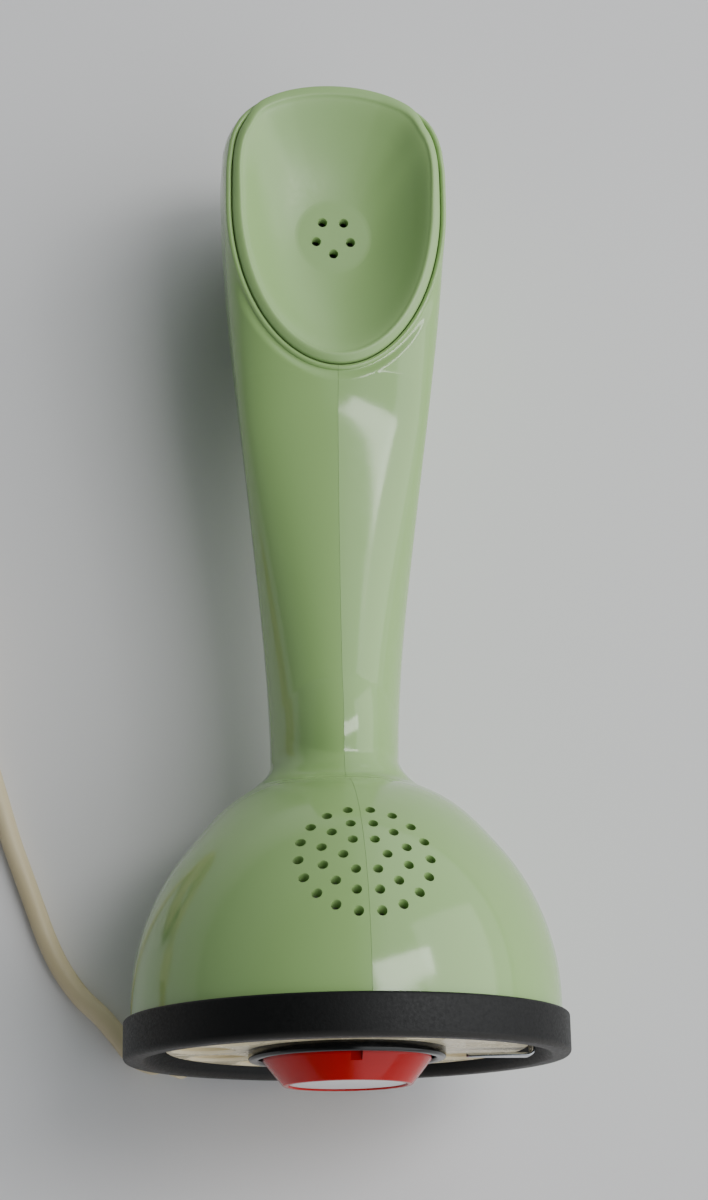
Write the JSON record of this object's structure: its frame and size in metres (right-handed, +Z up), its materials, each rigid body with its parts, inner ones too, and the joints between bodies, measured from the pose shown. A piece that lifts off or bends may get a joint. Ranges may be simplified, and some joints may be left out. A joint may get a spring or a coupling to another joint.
{
  "type": "one-piece telephone",
  "caption": "Cobra-shaped one-piece telephone lying on its back, with an ear hollow, a mouth grille, a finger-wheel dial and a sprung hook plunger in its base.",
  "frame": {"origin": "on the table under the middle of the telephone without its cord, lying on its back", "axes": "+Y from the dial to the head, +X to the right and +Z up out of the ear hollow"},
  "size_m": [0.2198, 0.2384, 0.098],
  "materials": {
    "case_green": "glossy moulded",
    "foot_rubber": "matt",
    "dial_cream": "satin",
    "collar_black": "glossy",
    "plunger_red": "glossy",
    "plunger_card": "satin",
    "bright_steel": "bright",
    "zinc_steel": "zinc plated",
    "brass": "plain",
    "capsule_metal": "plain",
    "insulator": "pressed board",
    "winding": "varnished wire",
    "lead_pvc": "thin insulation",
    "cord_pvc": "smooth",
    "tie_fabric": "woven strap"
  },
  "bodies": {
    "case": {"shell_left": "case_green", "shell_right": "case_green", "ear_cap": "case_green", "receiver_gasket": "foot_rubber", "receiver_capsule": "capsule_metal", "receiver_clip": "zinc_steel", "receiver_screws": "bright_steel", "receiver_lead": "lead_pvc", "transmitter_gasket": "foot_rubber", "transmitter_capsule": "capsule_metal", "transmitter_holder": "insulator", "transmitter_lead": "lead_pvc", "foot_ring": "foot_rubber", "chassis_plate": "zinc_steel", "chassis_screws": "bright_steel", "number_plate": "dial_cream", "finger_stop": "bright_steel", "bearing_bush": "brass", "dial_frame": "brass", "frame_pillars": "brass", "top_bridge": "brass", "return_spring": "bright_steel", "impulse_contacts": "brass", "contact_block": "insulator", "governor_drum": "zinc_steel", "plunger_spring": "bright_steel", "hook_bracket": "zinc_steel", "hook_block": "insulator", "hook_leaves": "brass", "induction_coil": "winding", "coil_core": "zinc_steel", "capacitor": "capsule_metal", "capacitor_strap": "zinc_steel", "terminal_strip": "insulator", "terminal_screws": "brass", "cord_gland": "cord_pvc", "line_lead": "lead_pvc", "line_cord": "cord_pvc", "cord_coil": "cord_pvc", "cord_tie": "tie_fabric", "cord_plug": "cord_pvc", "plug_pins": "brass"},
    "dial": {"finger_wheel": "dial_cream", "wheel_hub": "collar_black", "wheel_shaft": "bright_steel", "main_gear": "brass"},
    "impulse": {"impulse_shaft": "bright_steel", "impulse_pinion": "brass", "impulse_cam": "insulator", "speed_gear": "brass"},
    "governor": {"governor_rotor": "bright_steel", "governor_weights": "brass"},
    "plunger": {"plunger_cap": "plunger_red", "plunger_disc": "plunger_card", "plunger_stem": "bright_steel", "stem_clip": "bright_steel"}
  },
  "joints": [
    {"name": "plunger_slide", "type": "slide", "parent": "case", "child": "plunger", "axis": [0, 1, 0], "range_m": [0, 0.0054], "stiffness_N_per_m": 400, "springref_m": -0.005, "deforming": ["plunger_spring", "hook_leaves"]},
    {"name": "dial_turn", "type": "hinge", "parent": "case", "child": "dial", "pos_m": [0, -0.1138, 0.049], "axis": [0, 1, 0], "range_deg": [0, 315], "stiffness_Nm_per_rad": 0.02, "springref_deg": -57.3, "deforming": ["return_spring"]},
    {"name": "impulse_turn", "type": "hinge", "parent": "case", "child": "impulse", "pos_m": [0, -0.1138, 0.0265], "axis": [0, 1, 0], "range_deg": [-1260, 0]},
    {"name": "governor_turn", "type": "hinge", "parent": "case", "child": "governor", "pos_m": [0.01354, -0.1138, 0.02889], "axis": [0, 1, 0], "range_deg": [0, 5670]}
  ],
  "couplings": [
    {"joint": "impulse_turn", "follows": "dial_turn", "ratio": -4},
    {"joint": "governor_turn", "follows": "dial_turn", "ratio": 18}
  ]
}
